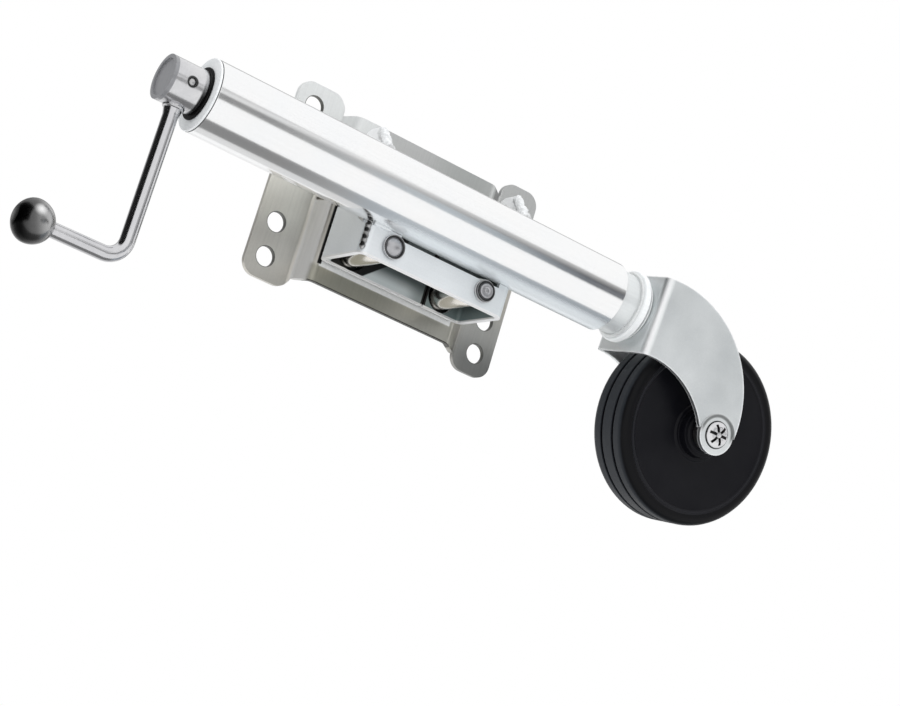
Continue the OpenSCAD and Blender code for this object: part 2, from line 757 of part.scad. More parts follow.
mounting_bracket();
pivot_pin();
pivot_washer();
swing_carrier();
pivot_sleeve();
lock_sleeve();
lock_pin();
spring_seat();
lock_spring();
outer_tube();
tube_cap();
hub_seal();
thrust_bearing();
guide_bush();
crank_hub();
hub_pin();
crank_arm();
crank_knob();
lead_screw();
lead_nut();
inner_tube();
stem_plug();
kingpin();
swivel_flange();
swivel_bearing();
yoke();
axle_rod();
axle_caps();
wheel_bush();
axle_spacers();
wheel();
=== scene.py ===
"""Looks of a fold-up trailer jack: plated plates and tube, welds, a ball crank and a black caster wheel."""
import json
import math

import bmesh
import bpy
from mathutils import Matrix, Vector


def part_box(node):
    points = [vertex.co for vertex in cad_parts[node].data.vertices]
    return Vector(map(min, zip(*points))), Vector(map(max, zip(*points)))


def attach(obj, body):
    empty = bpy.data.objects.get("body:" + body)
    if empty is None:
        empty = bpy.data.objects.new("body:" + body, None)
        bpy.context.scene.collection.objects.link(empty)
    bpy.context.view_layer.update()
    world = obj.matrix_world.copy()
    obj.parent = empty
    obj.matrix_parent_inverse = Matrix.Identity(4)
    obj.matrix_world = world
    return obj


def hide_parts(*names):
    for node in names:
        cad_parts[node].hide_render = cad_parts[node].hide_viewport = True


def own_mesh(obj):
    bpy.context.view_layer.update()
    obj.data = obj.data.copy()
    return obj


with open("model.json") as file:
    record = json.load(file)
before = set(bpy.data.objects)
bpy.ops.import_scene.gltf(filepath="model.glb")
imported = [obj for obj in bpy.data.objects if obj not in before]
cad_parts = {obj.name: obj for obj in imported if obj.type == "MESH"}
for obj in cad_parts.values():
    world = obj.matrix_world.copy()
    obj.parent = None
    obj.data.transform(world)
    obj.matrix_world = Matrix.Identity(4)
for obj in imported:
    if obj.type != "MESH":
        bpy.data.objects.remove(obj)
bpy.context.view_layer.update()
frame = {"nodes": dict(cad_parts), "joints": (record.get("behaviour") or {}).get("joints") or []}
joints = {joint["name"]: joint for joint in frame["joints"]}

# The camera that was fitted to the photograph, in metres, and its focal length in pixels
EYE = Vector((-0.8205, -1.5472, -0.5184))
EYE_RIGHT = Vector((0.7916, -0.5428, 0.2807))
EYE_UP = Vector((-0.3669, -0.0549, 0.9286))
EYE_BACK = EYE_RIGHT.cross(EYE_UP)
FOCAL_PX = 2300
IMAGE_W_PX = 900
SENSOR_MM = 36


def middle_of(node):
    low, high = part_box(node)
    return (low + high) / 2


def radius_of(node, across="x"):
    """Half of a CAD node's width along one axis."""
    low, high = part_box(node)
    return (getattr(high, across) - getattr(low, across)) / 2


# Places and sizes of the pieces, from the frame
X_AXIS = Vector((1, 0, 0))
Y_AXIS = Vector((0, 1, 0))
Z_AXIS = Vector((0, 0, 1))
TUBE_MID = middle_of("outer_tube")
TUBE_R = radius_of("outer_tube", "z")
CARRIER_LO, CARRIER_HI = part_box("swing_carrier")
HUB_LO, HUB_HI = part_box("crank_hub")
HUB_PIN = middle_of("hub_pin")
HUB_PIN_R = radius_of("hub_pin")
KNOB = middle_of("crank_knob")
LOCK = middle_of("lock_pin")
PIVOT = Vector(joints["swing_fold"]["pos_m"])
AXLE = Vector(joints["wheel_spin"]["pos_m"])
AXLE_DIR = Vector(joints["wheel_spin"]["axis"])
FORK_UP = X_AXIS.cross(AXLE_DIR)
TYRE_R = radius_of("wheel")
LEG_TRAVEL = joints["leg_slide"]["range_m"][1]

# Sizes and places that the frame doesn't give
PLATE_T = 0.004
ROD_R = 0.00575
ARM_X = HUB_HI.x - 0.0134
SEAM_Z = TUBE_MID.z - TUBE_R - 0.0006
CORNER_WELD = Vector((CARRIER_LO.x + 0.0010, CARRIER_LO.y + 0.0012, SEAM_Z))
CORNER_WELD_LEN = 0.022
STAR_ARMS = 6
STAR_IN, STAR_OUT = 0.0022, 0.0086
STAR_W = 0.0020

# Edges that turn by more than SHARP are rounded, and those that turn by less than SMOOTH are shaded smooth
SHARP = math.radians(35)
SMOOTH = math.radians(42)
FULL_TURN = 2 * math.pi

# Points that lie closer than this are one point
MERGE = 2e-6


# Camera

def add_camera():
    data = bpy.data.cameras.new("camera")
    data.sensor_width = SENSOR_MM
    data.lens = FOCAL_PX / IMAGE_W_PX * SENSOR_MM
    camera = bpy.data.objects.new("camera", data)
    bpy.context.scene.collection.objects.link(camera)
    turn = Matrix((EYE_RIGHT, EYE_UP, EYE_BACK)).transposed()
    camera.matrix_world = Matrix.Translation(EYE) @ turn.to_4x4()
    bpy.context.scene.camera = camera


add_camera()


# Modelling helpers

def start_clean():
    if bpy.context.mode != "OBJECT":
        bpy.ops.object.mode_set(mode="OBJECT")
    bpy.ops.object.select_all(action="DESELECT")


def only(piece):
    start_clean()
    piece.select_set(True)
    bpy.context.view_layer.objects.active = piece


def edit(piece):
    only(piece)
    bpy.ops.object.mode_set(mode="EDIT")
    bpy.ops.mesh.select_mode(type="VERT")
    bpy.ops.mesh.select_all(action="SELECT")


def pick(piece, kind, wanted):
    """In edit mode, selects only the verts, edges or faces that pass the test."""
    modes = {"verts": "VERT", "edges": "EDGE", "faces": "FACE"}
    bpy.ops.mesh.select_mode(type=modes[kind])
    bpy.ops.mesh.select_all(action="DESELECT")
    shape = bmesh.from_edit_mesh(piece.data)
    for element in getattr(shape, kind):
        element.select_set(bool(wanted(element)))
    shape.select_flush_mode()
    bmesh.update_edit_mesh(piece.data)


def close_up(piece):
    """Merges doubled points and turns every face outwards."""
    edit(piece)
    bpy.ops.mesh.remove_doubles(threshold=MERGE)
    bpy.ops.mesh.normals_make_consistent(inside=False)
    start_clean()


def place(piece, matrix):
    """Puts the piece's place into its mesh, and leaves its object at the origin."""
    only(piece)
    piece.matrix_world = matrix
    bpy.ops.object.transform_apply(location=True, rotation=True, scale=True)


def facing(direction, point):
    """Local X along the direction, with the piece's own origin at the point."""
    return Matrix.LocRotScale(point, direction.to_track_quat("X", "Z"), None)


def apply_modifier(piece, kind, **settings):
    only(piece)
    bpy.ops.object.modifier_add(type=kind)
    modifier = piece.modifiers[-1]
    for name, value in settings.items():
        setattr(modifier, name, value)
    bpy.ops.object.modifier_apply(modifier=modifier.name)


def smooth(piece):
    only(piece)
    bpy.ops.object.shade_smooth_by_angle(angle=SMOOTH)
    apply_modifier(piece, "WEIGHTED_NORMAL", keep_sharp=True, weight=100, use_face_influence=True)
    start_clean()


def soften(piece, width, segments=3):
    apply_modifier(piece, "BEVEL", limit_method="ANGLE", angle_limit=SHARP, width=width, segments=segments,
                   face_strength_mode="FSTR_AFFECTED")
    smooth(piece)


def roughen(piece, strength, grain):
    """Pushes the surface in and out in soft lumps, as on a weld."""
    lumps = bpy.data.textures.new(piece.name + "_lumps", type="CLOUDS")
    lumps.noise_scale = grain
    apply_modifier(piece, "DISPLACE", texture=lumps, texture_coords="LOCAL", strength=strength, mid_level=0.5)


def cut(piece, cutter):
    apply_modifier(piece, "BOOLEAN", object=cutter, operation="DIFFERENCE", solver="EXACT")
    bpy.data.objects.remove(cutter)


def eased_copy(node, name, width, segments=3):
    """A copy of a CAD node with its triangles merged into whole faces and its sharp edges rounded."""
    piece = bpy.data.objects.new(name, frame["nodes"][node].data.copy())
    bpy.context.scene.collection.objects.link(piece)
    piece.data.materials.clear()
    edit(piece)
    bpy.ops.mesh.remove_doubles(threshold=MERGE)
    bpy.ops.mesh.dissolve_limited(angle_limit=math.radians(0.4))
    soften(piece, width, segments)
    return piece


def turned_piece(name, outline, matrix, width=0, steps=72):
    """A round piece: a point is drawn out through (along, radius) points, and its line is spun about X."""
    start_clean()
    bpy.ops.mesh.primitive_plane_add(size=0.001)
    piece = bpy.context.active_object
    piece.name = name
    edit(piece)
    bpy.ops.mesh.merge(type="CENTER")
    here = Vector((0, 0, 0))
    for number, (along, radius) in enumerate(outline):
        there = Vector((along, radius, 0))
        if number == 0:
            bpy.ops.transform.translate(value=there - here)
        else:
            bpy.ops.mesh.extrude_region_move(TRANSFORM_OT_translate={"value": there - here})
        here = there
    bpy.ops.mesh.select_all(action="SELECT")
    bpy.ops.mesh.spin(steps=steps, angle=FULL_TURN, center=(0, 0, 0), axis=(1, 0, 0))
    close_up(piece)
    place(piece, matrix)
    if width:
        soften(piece, width)
    else:
        smooth(piece)
    return piece


def arc_points(middle, radius, start_deg, end_deg, count):
    """Points along an arc of an outline, from one angle to another."""
    angles = [math.radians(start_deg + (end_deg - start_deg) * i / count) for i in range(count + 1)]
    return [(middle[0] + radius * math.cos(a), middle[1] + radius * math.sin(a)) for a in angles]


def weld_bead(name, start, end, radius, ripples):
    """A straight weld: a small disc is drawn out along the seam, and swells at each ripple."""
    ring_steps = 4
    waist, swell = 0.86, 0.14
    end_size, end_growth = 0.45, 0.25
    run = Vector(end) - Vector(start)
    count = ripples * ring_steps
    start_clean()
    bpy.ops.mesh.primitive_circle_add(vertices=12, radius=radius, fill_type="NGON")
    bead = bpy.context.active_object
    bead.name = name
    edit(bead)
    size = 1
    for i in range(1, count + 1):
        bpy.ops.mesh.extrude_region_move(TRANSFORM_OT_translate={"value": (0, 0, run.length / count)})
        end_taper = min(1, end_size + end_growth * min(i, count - i))
        ripple = math.sin(math.pi * (i % ring_steps) / ring_steps)
        new_size = end_taper * (waist + swell * ripple)
        ratio = new_size / size
        size = new_size
        centre = (0, 0, run.length * i / count)
        bpy.ops.transform.resize(value=(ratio, ratio, 1), center_override=centre)
    close_up(bead)
    place(bead, Matrix.LocRotScale(Vector(start), run.to_track_quat("Z", "Y"), None))
    roughen(bead, radius * 0.35, radius * 1.3)
    smooth(bead)
    return bead


def weld_ring(name, centre, axis, ring_r, bead_r, start_deg=0, sweep_deg=360, lumps=0.35):
    """A weld round an axis: a small disc is spun through part of a turn or all of it."""
    steps = max(8, int(abs(sweep_deg) / 3))
    start_clean()
    bpy.ops.mesh.primitive_circle_add(vertices=10, radius=bead_r, fill_type="NGON")
    bead = bpy.context.active_object
    bead.name = name
    edit(bead)
    bpy.ops.transform.translate(value=(0, ring_r, 0))
    bpy.ops.mesh.spin(steps=steps, angle=math.radians(sweep_deg), center=(0, 0, 0), axis=(1, 0, 0))
    close_up(bead)
    turn = Matrix.Rotation(math.radians(start_deg), 4, "X")
    place(bead, facing(axis, centre) @ turn)
    roughen(bead, bead_r * lumps, bead_r * 1.5)
    smooth(bead)
    return bead


# Materials

finishes = {}
EVEN = (1, 1, 1)


def new_material(name):
    material = bpy.data.materials.new(name)
    material.use_nodes = True
    return material, material.node_tree, material.node_tree.nodes["Principled BSDF"]


def add_node(tree, kind, **sockets):
    node = tree.nodes.new("ShaderNode" + kind)
    for socket, value in sockets.items():
        node.inputs[socket].default_value = value
    return node


def feed(tree, value, socket):
    """Links an output to the socket, or sets the socket to a plain value."""
    if isinstance(value, bpy.types.NodeSocket):
        tree.links.new(value, socket)
    else:
        socket.default_value = value


def rgba(colour):
    """A colour or a plain grey, as a colour socket takes it."""
    if isinstance(colour, (int, float)):
        return (colour, colour, colour, 1)
    return (*colour, 1)


def own_place(tree):
    """The piece's own coordinates, as one vector."""
    return add_node(tree, "TexCoord").outputs["Object"]


def math_node(tree, operation, first, second):
    node = add_node(tree, "Math")
    node.operation = operation
    tree.links.new(first, node.inputs[0])
    tree.links.new(second, node.inputs[1])
    return node.outputs[0]


def times(tree, first, second):
    return math_node(tree, "MULTIPLY", first, second)


def vector_math(tree, operation, first, second=(0, 0, 0)):
    """The outputs of a vector node: the first is a vector, and Value is a number."""
    node = add_node(tree, "VectorMath")
    node.operation = operation
    feed(tree, first, node.inputs[0])
    feed(tree, second, node.inputs[1])
    return node.outputs


def noise(tree, stretch, scale, detail):
    """A noise pattern on the piece's own coordinates, stretched along its axes."""
    mapping = add_node(tree, "Mapping", Scale=stretch)
    pattern = add_node(tree, "TexNoise", Scale=scale, Detail=detail)
    tree.links.new(own_place(tree), mapping.inputs["Vector"])
    tree.links.new(mapping.outputs["Vector"], pattern.inputs["Vector"])
    return pattern.outputs["Fac"]


def ramp(tree, value, stops):
    """A colour ramp: stops are (place, colour or grey)."""
    node = add_node(tree, "ValToRGB")
    elements = node.color_ramp.elements
    for number, (where, colour) in enumerate(stops):
        element = elements[number] if number < 2 else elements.new(where)
        element.position = where
        element.color = rgba(colour)
    tree.links.new(value, node.inputs["Fac"])
    return node.outputs["Color"]


def mixed(tree, factor, first, second, mode="MIX"):
    node = add_node(tree, "Mix")
    node.data_type = "RGBA"
    node.blend_type = mode
    for name, value in (("Factor", factor), ("A", first), ("B", second)):
        places = [socket for socket in node.inputs if socket.name == name and socket.enabled]
        feed(tree, value, places[0])
    return [socket for socket in node.outputs if socket.enabled][0]


def bump(tree, shader, height, strength, distance):
    node = add_node(tree, "Bump", Strength=strength, Distance=distance)
    tree.links.new(height, node.inputs["Height"])
    tree.links.new(node.outputs["Normal"], shader.inputs["Normal"])


def step(tree, value, start, end):
    """0 at the start and 1 at the end, with a soft rise between; the end may lie below the start."""
    node = add_node(tree, "MapRange")
    node.interpolation_type = "SMOOTHSTEP"
    node.inputs["From Min"].default_value = min(start, end)
    node.inputs["From Max"].default_value = max(start, end)
    node.inputs["To Min"].default_value = 0 if start < end else 1
    node.inputs["To Max"].default_value = 1 if start < end else 0
    tree.links.new(value, node.inputs["Value"])
    return node.outputs["Result"]


# Masks: functions that add nodes to a material, which give 1 in some places of the piece and 0 elsewhere

def in_box(soft, x=(None, None), y=(None, None), z=(None, None)):
    """A mask that is 1 inside a box of the piece's own space; None leaves that side open."""
    def mask(tree):
        parts = add_node(tree, "SeparateXYZ")
        tree.links.new(own_place(tree), parts.inputs[0])
        inside = None
        for axis, (low, high) in enumerate((x, y, z)):
            for limit, way in ((low, 1), (high, -1)):
                if limit is None:
                    continue
                side = step(tree, parts.outputs[axis], limit - way * soft, limit + way * soft)
                inside = side if inside is None else times(tree, inside, side)
        return inside
    return mask


def near_axis(point, direction, outer, soft, inner=-1):
    """A mask that is 1 within a distance of a line, or between two distances from it."""
    def mask(tree):
        offset = vector_math(tree, "SUBTRACT", own_place(tree), point)[0]
        across = vector_math(tree, "CROSS_PRODUCT", offset, direction)[0]
        reach = vector_math(tree, "LENGTH", across)["Value"]
        far_enough = step(tree, reach, inner - soft, inner + soft)
        near_enough = step(tree, reach, outer + soft, outer - soft)
        return times(tree, far_enough, near_enough)
    return mask


def near_point(point, radius, soft):
    """A mask that is 1 within a distance of a point."""
    def mask(tree):
        reach = vector_math(tree, "DISTANCE", own_place(tree), point)["Value"]
        return step(tree, reach, radius + soft, radius - soft)
    return mask


def beyond(point, direction, soft):
    """A mask that is 1 past a plane through the point, on the side that the direction points to."""
    def mask(tree):
        offset = vector_math(tree, "SUBTRACT", own_place(tree), point)[0]
        depth = vector_math(tree, "DOT_PRODUCT", offset, Vector(direction).normalized())["Value"]
        return step(tree, depth, -soft, soft)
    return mask


def both(first, second):
    return lambda tree: times(tree, first(tree), second(tree))


def band(middle, direction, half_width, soft):
    """A mask that is 1 between two planes, on either side of a point."""
    return both(beyond(middle - direction * half_width, direction, soft),
                beyond(middle + direction * half_width, -direction, soft))


def edge_wear_and_highlight(width):
    """A mask that is 1 along edges, where a finish is worn and an edge highlight is painted: a rounded normal
    parts from the plain one.
    """
    flat_match, edge_match = 0.96, 0.86

    def mask(tree):
        rounded = add_node(tree, "Bevel", Radius=width).outputs["Normal"]
        plain = add_node(tree, "NewGeometry").outputs["Normal"]
        match = vector_math(tree, "DOT_PRODUCT", rounded, plain)["Value"]
        return step(tree, match, flat_match, edge_match)
    return mask


# Finishes

def plated_metal(name, light, dark, grain, rough, edge=0.93, edge_width=0.0010, edge_metal=1.0,
                 bump_strength=0.08, stains_and_painted_light=(), metal=1.0, patch=26, streaky=0.7):
    """Plated steel: cloudy tone, drawn or rolled grain along one axis, fine spangle, and edges worn bright
    with a painted edge highlight.

    Stains and painted light are (mask, colour, metallic): places where the finish is grimy, dull or worn
    bright, and places where light and shade are painted."""
    spangle_scale = 900
    grain_depth = 0.0004
    fleck_share, line_gloss_share, spangle_share = 0.6, 0.5, 0.35
    material, tree, shader = new_material(name)
    cloud = noise(tree, EVEN, patch, 4)
    lines = noise(tree, grain, 1, 4)
    spangle = noise(tree, EVEN, spangle_scale, 2)
    tone = ramp(tree, cloud, [(0.32, dark), (0.66, light)])
    metallic = rgba(metal)
    for mask, colour, stain_metal in [(edge_wear_and_highlight(edge_width), edge, edge_metal), *stains_and_painted_light]:
        where = mask(tree)
        tone = mixed(tree, where, tone, rgba(colour))
        metallic = mixed(tree, where, metallic, rgba(stain_metal))
    streaks = ramp(tree, lines, [(0.30, 0.90), (0.70, 1.0)])
    tone = mixed(tree, streaky, tone, streaks, "MULTIPLY")
    flecks = ramp(tree, spangle, [(0.30, 0.93), (0.75, 1.0)])
    tone = mixed(tree, fleck_share, tone, flecks, "MULTIPLY")
    tree.links.new(tone, shader.inputs["Base Color"])
    tree.links.new(metallic, shader.inputs["Metallic"])
    cloud_gloss = ramp(tree, cloud, [(0.3, rough[0]), (0.7, rough[1])])
    line_gloss = ramp(tree, lines, [(0.3, rough[1]), (0.7, rough[0])])
    gloss = mixed(tree, line_gloss_share, cloud_gloss, line_gloss)
    tree.links.new(gloss, shader.inputs["Roughness"])
    bump(tree, shader, mixed(tree, spangle_share, lines, spangle), bump_strength, grain_depth)
    finishes[name] = material


def moulded(name, light, dark, rough, level=0.5, stains_and_painted_light=()):
    """Rubber or plastic: moulded grain, faint bloom and softly polished edges; each stain and each patch of
    painted light is (mask, colour).
    """
    bloom_scale, grain_scale = 30, 700
    grain_strength, grain_depth = 0.12, 0.0003
    edge_width = 0.0010
    polish = 1.6
    material, tree, shader = new_material(name)
    cloud = noise(tree, EVEN, bloom_scale, 4)
    grain = noise(tree, EVEN, grain_scale, 2)
    tone = ramp(tree, cloud, [(0.35, dark), (0.7, light)])
    polished = [channel * polish for channel in rgba(light)[:3]]
    for mask, colour in [(edge_wear_and_highlight(edge_width), polished), *stains_and_painted_light]:
        tone = mixed(tree, mask(tree), tone, rgba(colour))
    tree.links.new(tone, shader.inputs["Base Color"])
    gloss = ramp(tree, cloud, [(0.3, rough[0]), (0.7, rough[1])])
    tree.links.new(gloss, shader.inputs["Roughness"])
    shader.inputs["Specular IOR Level"].default_value = level
    bump(tree, shader, grain, grain_strength, grain_depth)
    finishes[name] = material


# Stains and painted light and shade of each finish, as (mask, colour, metallic)

BLACK = 0.006
# Painted shade for the rings of the pins' heads
HEAD_RING_SHADE = (0.03, 0.03, 0.032)
BRIGHT = 0.95
DULL_ZINC = (0.80, 0.84, 0.86)


def carrier_tones_and_painted_light():
    """Duller towards the wheel, in painted shade inside, with a painted lock-sleeve shadow and a dark seam at
    the back, and painted highlights on the lower edge and the wall tops.
    """
    wall = PLATE_T - 0.0004
    back_y = CARRIER_HI.y - 0.006
    back_seam_x = 0.028
    seam_half = 0.0022
    room = in_box(0.0003, x=(CARRIER_LO.x + wall, CARRIER_HI.x - wall),
                  y=(CARRIER_LO.y + wall, CARRIER_HI.y - wall))
    # Painted shadow of the lock sleeve on the back plate
    painted_sleeve_shadow = both(beyond((-0.0275, 0, -0.0504), (-0.65, 0, 0.76), 0.0006),
                in_box(0.0006, x=(-0.060, 0.0), y=(back_y, None)))
    back_seam = in_box(0.0004, x=(back_seam_x - seam_half, back_seam_x + seam_half), y=(back_y, None))
    return [
        (in_box(0.030, x=(0.030, None)), DULL_ZINC, 0.6),
        # Painted shade inside the box, darker towards the wheel and towards the top
        (room, (0.72, 0.77, 0.77), 0.4),
        (both(room, in_box(0.008, x=(0.016, None))), (0.34, 0.38, 0.38), 0.4),
        (both(room, in_box(0.002, x=(0.030, None))), (0.20, 0.25, 0.25), 0.5),
        (both(room, in_box(0.006, z=(-0.044, None))), (0.10, 0.12, 0.12), 0.5),
        (back_seam, BLACK, 0.5),
        (painted_sleeve_shadow, BLACK, 0.5),
        # Painted highlights along the lower edge and on the tops of the end walls
        (in_box(0.0004, z=(None, CARRIER_LO.z + 0.0014)), BRIGHT, 0.6),
        (in_box(0.010, z=(0.020, None)), BRIGHT, 0.0),
    ]


def bracket_tones_and_painted_light():
    """The tones of the panel, its walls, the ears and the lower lip, with painted light and shade on the
    channel's right wall, the ears, the lower edge, round the pins' sleeves, beside the carrier and in the
    bolt holes.
    """
    ear_x = 0.080
    above_tube = (0.030, None)
    lip_y = (None, -0.010)
    lip_z = (None, -0.057)
    panel_front = (None, -0.0205)
    low_edge_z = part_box("mounting_bracket")[0].z + 0.0113
    sleeve_shadow_r = 0.0145
    hole_x = 0.1016
    hole_rows = (0.0635, 0.03495)
    hole_wall_r = 0.0084
    stains_and_painted_light = [
        # Panel above the tube, painted darker towards the right, and the walls of its channel, the right wall
        # in painted shade
        (in_box(0.006, x=(-0.060, None), z=above_tube), (0.68, 0.69, 0.685), 1.0),
        (in_box(0.020, x=(0.010, 0.066), z=above_tube), (0.58, 0.60, 0.59), 1.0),
        (in_box(0.002, x=(0.069, ear_x), z=above_tube), 0.34, 1.0),
        (in_box(0.0006, x=(-0.077, -0.0695), y=(None, -0.004), z=(None, -0.005)), (0.62, 0.61, 0.59), 0.15),
        # Ears, with painted light on the upper left one and on the top of the lower left one, and painted
        # shade on the lower right one, darker towards the bottom
        (in_box(0.002, x=(None, -ear_x)), (0.69, 0.67, 0.62), 1.0),
        (in_box(0.006, x=(None, -0.050), z=above_tube), (0.76, 0.77, 0.76), 0.15),
        (in_box(0.010, x=(ear_x, None), z=(None, -0.030)), (0.56, 0.55, 0.52), 1.0),
        (in_box(0.014, x=(ear_x, None), z=(None, -0.058)), (0.34, 0.34, 0.33), 1.0),
        (in_box(0.014, x=(None, -ear_x), z=(-0.036, 0.010)), (0.98, 0.96, 0.88), 1.0),
        # Lower lip, and painted shade along the plate's lower edge
        (in_box(0.002, x=(-0.070, 0.075), y=lip_y, z=lip_z), (0.39, 0.38, 0.32), 0.7),
        (in_box(0.020, x=(0.000, 0.075), y=lip_y, z=lip_z), (0.56, 0.55, 0.50), 0.8),
        (in_box(0.0003, x=(-0.070, 0.070), z=(None, low_edge_z)), (0.08, 0.08, 0.07), 1.0),
        # Painted shadows round the pins' sleeves, a painted highlight below the carrier and a painted shadow
        # line along its wall
        (near_axis(LOCK, Y_AXIS, sleeve_shadow_r, 0.001), BLACK, 0.5),
        (near_axis(PIVOT, Y_AXIS, sleeve_shadow_r, 0.001), BLACK, 0.5),
        (in_box(0.0006, x=(CARRIER_LO.x + 0.004, CARRIER_HI.x - 0.006), y=panel_front, z=(-0.0575, -0.053)),
         (0.86, 0.86, 0.85), 0.2),
        (in_box(0.0004, x=(CARRIER_LO.x + 0.0021, CARRIER_LO.x + 0.0055), y=panel_front, z=(-0.056, -0.002)),
         BLACK, 0.5),
    ]
    # Painted shade on the walls of the bolt holes
    for x in (-hole_x, hole_x):
        for z in (*hole_rows, *(-row for row in hole_rows)):
            hole_wall = near_axis(Vector((x, 0, z)), Y_AXIS, hole_wall_r, 0.0003)
            stains_and_painted_light.append((hole_wall, (0.10, 0.10, 0.09), 0.5))
    return stains_and_painted_light


def weld_painted_shade():
    """Painted shade in spots down the corner weld."""
    shade_spot_r = 0.0020
    surface = CORNER_WELD + Vector((-0.0010, -0.0010, 0))
    depths = [CORNER_WELD_LEN * share for share in (0.08, 0.32, 0.58, 0.84)]
    return [(near_point(surface - Z_AXIS * depth, shade_spot_r, 0.0006), BLACK, 0.5) for depth in depths]


def head_ring_painted_shade():
    """Painted shade in the rings of the two pins' heads."""
    return [
        (near_axis(LOCK, Y_AXIS, 0.0089, 0.0005, inner=0.0072), HEAD_RING_SHADE, 0.5),
        (near_axis(PIVOT, Y_AXIS, 0.0080, 0.0005, inner=0.0060), HEAD_RING_SHADE, 0.5),
    ]


def tube_stains():
    """A dark joint at the cap, and a dull underside from the carrier onwards."""
    cap_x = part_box("outer_tube")[0].x
    joint_half = 0.0004
    underside = both(in_box(0.0020, z=(None, -0.0245)), in_box(0.020, x=(CARRIER_LO.x + 0.016, None)))
    return [
        (in_box(0.0002, x=(cap_x - joint_half, cap_x + joint_half)), BLACK, 0.5),
        (underside, DULL_ZINC, 0.15),
    ]


def fork_painted_light():
    """A painted highlight on the bend, a painted shadow ring round the axle's cap and a painted shadow arc
    above it.
    """
    bend = Vector((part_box("yoke")[0].x + 0.001, TUBE_MID.y, TUBE_MID.z)) - AXLE_DIR * 0.034
    step_shadow = both(near_axis(AXLE, AXLE_DIR, 0.0165, 0.0008, inner=0.0140), beyond(AXLE, FORK_UP, 0.004))
    return [
        (near_axis(bend, FORK_UP, 0.0030, 0.0016), BRIGHT, 0.5),
        (near_axis(AXLE, AXLE_DIR, 0.0114, 0.0003, inner=0.0100), BLACK, 0.5),
        (step_shadow, (0.30, 0.31, 0.31), 1.0),
    ]


def star_slot_painted_shade():
    """Painted shade in the slots of the axle's caps."""
    slack = 0.0002
    star_ring = near_axis(AXLE, AXLE_DIR, STAR_OUT, 0.0002, inner=STAR_IN)
    stains_and_painted_light = []
    for arm in range(STAR_ARMS // 2):
        across_arm = Matrix.Rotation(FULL_TURN * arm / STAR_ARMS, 3, AXLE_DIR) @ FORK_UP
        slot = band(AXLE, across_arm, STAR_W / 2 + slack, 0.0001)
        stains_and_painted_light.append((both(star_ring, slot), BLACK, 0.5))
    return stains_and_painted_light


def crank_painted_shade():
    """Painted shadow on the hub's lower half beside the seal, and painted shade on its grey free end and
    round the hub's pin.
    """
    end_band = 0.0030
    seal_shadow = both(in_box(0.0008, x=(HUB_HI.x - end_band, None)),
                   beyond(TUBE_MID + Vector((0, 0, 0.002)), -Z_AXIS, 0.010))
    return [
        (seal_shadow, BLACK, 0.5),
        (in_box(0.0003, x=(None, HUB_LO.x + end_band), z=(HUB_LO.z, None)), (0.28, 0.28, 0.29), 0.2),
        (near_axis(HUB_PIN, Y_AXIS, HUB_PIN_R + 0.0014, 0.0005, inner=HUB_PIN_R - 0.0002), 0.03, 0.5),
    ]


def knob_painted_reflection():
    """Painted reflections: dark on one side of the ball and pale on the other, with a painted highlight for a
    glint.
    """
    ball_r = radius_of("crank_knob", "z")
    glint = KNOB + (EYE_RIGHT * 0.50 + EYE_UP * 0.48 + EYE_BACK * 0.72) * ball_r
    return [
        (beyond(KNOB - EYE_RIGHT * 0.002, -EYE_RIGHT, 0.007), 0.004, 1.0),
        (beyond(KNOB + EYE_RIGHT * 0.009, EYE_RIGHT, 0.006), 0.50, 1.0),
        (near_point(glint, 0.0030, 0.0030), BRIGHT, 1.0),
    ]


def wheel_tones_and_painted_sheen():
    """A dark side wall, a painted sheen on the paler tread and a painted highlight on a faint ring inside the
    wall, as (mask, colour).
    """
    return [
        (near_axis(AXLE, AXLE_DIR, TYRE_R - 0.0010, 0.0008, inner=0.0668), (0.002, 0.002, 0.003)),
        (near_axis(AXLE, AXLE_DIR, 1, 0.0006, inner=TYRE_R - 0.0008), (0.022, 0.025, 0.030)),
        (near_axis(AXLE, AXLE_DIR, 0.0662, 0.0008, inner=0.0638), (0.012, 0.012, 0.015)),
    ]


# Grains: how fine the drawn or rolled lines are along each axis
ALONG_X = (14, 700, 700)
ALONG_Y = (500, 16, 500)
ALONG_Z = (500, 500, 16)
PRESSED = (60, 60, 60)
TURNED = (300, 300, 300)
WELDED = (400, 400, 400)
BALL = (90, 500, 500)

plated_metal("tube_zinc", 0.98, (0.96, 0.97, 0.98), ALONG_X, (0.13, 0.18), bump_strength=0.02,
             stains_and_painted_light=tube_stains(), streaky=0.2)
plated_metal("leg_zinc", (0.84, 0.86, 0.86), (0.76, 0.78, 0.78), ALONG_X, (0.40, 0.50), bump_strength=0.04,
             metal=0.5)
plated_metal("plate_zinc", (0.66, 0.64, 0.59), (0.54, 0.52, 0.47), ALONG_Z, (0.30, 0.42),
             stains_and_painted_light=bracket_tones_and_painted_light())
plated_metal("carrier_zinc", (0.90, 0.93, 0.95), (0.84, 0.87, 0.89), ALONG_X, (0.40, 0.50),
             bump_strength=0.04, stains_and_painted_light=carrier_tones_and_painted_light(), metal=0.6, streaky=0.3)
# Near white and almost matt: painted light on the cap, the flange and the bearing races
plated_metal("collar_zinc", 0.98, (0.90, 0.92, 0.92), ALONG_X, (0.44, 0.58), edge=BRIGHT, metal=0.1)
